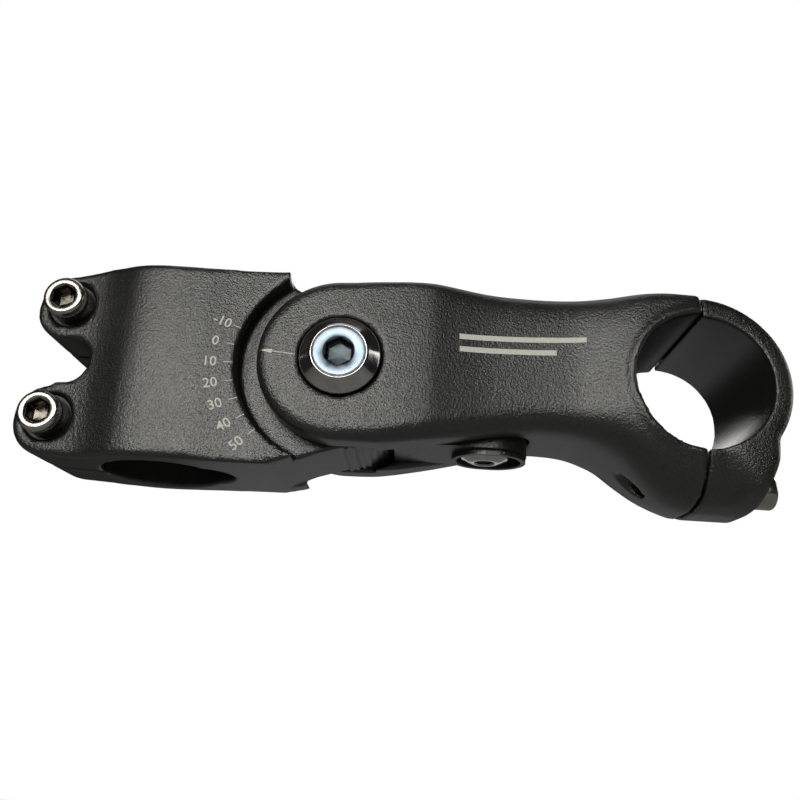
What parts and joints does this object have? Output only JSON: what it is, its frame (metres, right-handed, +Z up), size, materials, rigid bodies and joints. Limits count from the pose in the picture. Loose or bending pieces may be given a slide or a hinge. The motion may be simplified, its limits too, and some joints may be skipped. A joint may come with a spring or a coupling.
{
  "type": "handlebar stem",
  "caption": "Angle-adjustable threadless handlebar stem with a split steerer clamp, a toothed pivot lock, an arm and a bolted bar clamp faceplate.",
  "frame": {"origin": "centre of the steerer bore, half way up the clamp", "axes": "+Z up along the steerer, +X forward to the handlebar, +Y to the rider's left"},
  "size_m": [0.1813, 0.0474, 0.0535],
  "materials": {
    "black_coating": "satin black coating over a fine blasted grain",
    "bolt_steel": "nickel plated steel",
    "polished_steel": "turned and polished steel",
    "black_oxide": "black oxide on steel",
    "blue_zinc": "blue-white zinc plate",
    "bronze": "plain sintered bronze",
    "grey_plastic": "plain moulded acetal"
  },
  "bodies": {
    "clamp": {"steerer_clamp": "black_coating", "pivot_bush": "bronze", "pinch_washer_upper": "black_oxide", "pinch_washer_lower": "black_oxide"},
    "upper_pinch_bolt": {"pinch_bolt_upper": "bolt_steel"},
    "lower_pinch_bolt": {"pinch_bolt_lower": "bolt_steel"},
    "arm": {"extension_arm": "black_coating", "side_washer_left": "grey_plastic", "side_washer_right": "grey_plastic", "pivot_nut": "blue_zinc", "pivot_nut_washer": "polished_steel", "pivot_cone_washer": "polished_steel"},
    "pivot_bolt_body": {"pivot_bolt": "blue_zinc"},
    "wedge": {"lock_wedge": "black_coating"},
    "lock_bolt_body": {"lock_bolt": "bolt_steel", "lock_washer": "bolt_steel"},
    "faceplate_body": {"faceplate": "black_coating", "faceplate_washer": "bolt_steel"},
    "faceplate_bolt_body": {"faceplate_bolt": "bolt_steel"}
  },
  "joints": [
    {"name": "arm_pitch", "type": "hinge", "parent": "clamp", "child": "arm", "pos_m": [0.0435, 0, 0.0012], "axis": [0, -1, 0], "range_deg": [-15, 45]},
    {"name": "lock_wedge_slide", "type": "slide", "parent": "arm", "child": "wedge", "axis": [-0.7883, 0, 0.6152], "range_m": [0, 0.0012]},
    {"name": "lock_bolt_travel", "type": "slide", "parent": "arm", "child": "lock_bolt_body", "axis": [0.0192, 0, 0.9998], "range_m": [0, 0.00072]},
    {"name": "pivot_bolt_unscrew", "type": "slide", "parent": "arm", "child": "pivot_bolt_body", "axis": [0, -1, 0], "range_m": [0, 0.008]},
    {"name": "pinch_bolt_upper_unscrew", "type": "slide", "parent": "clamp", "child": "upper_pinch_bolt", "axis": [0, -1, 0], "range_m": [0, 0.01]},
    {"name": "pinch_bolt_lower_unscrew", "type": "slide", "parent": "clamp", "child": "lower_pinch_bolt", "axis": [0, -1, 0], "range_m": [0, 0.01]},
    {"name": "faceplate_slide", "type": "slide", "parent": "arm", "child": "faceplate_body", "axis": [0.9998, 0, -0.0192], "range_m": [0, 0.018]},
    {"name": "faceplate_bolt_unscrew", "type": "slide", "parent": "faceplate_body", "child": "faceplate_bolt_body", "axis": [0.9998, 0, -0.0192], "range_m": [0, 0.012]}
  ],
  "couplings": [
    {"joint": "lock_bolt_travel", "follows": "lock_wedge_slide", "ratio": 0.6}
  ]
}
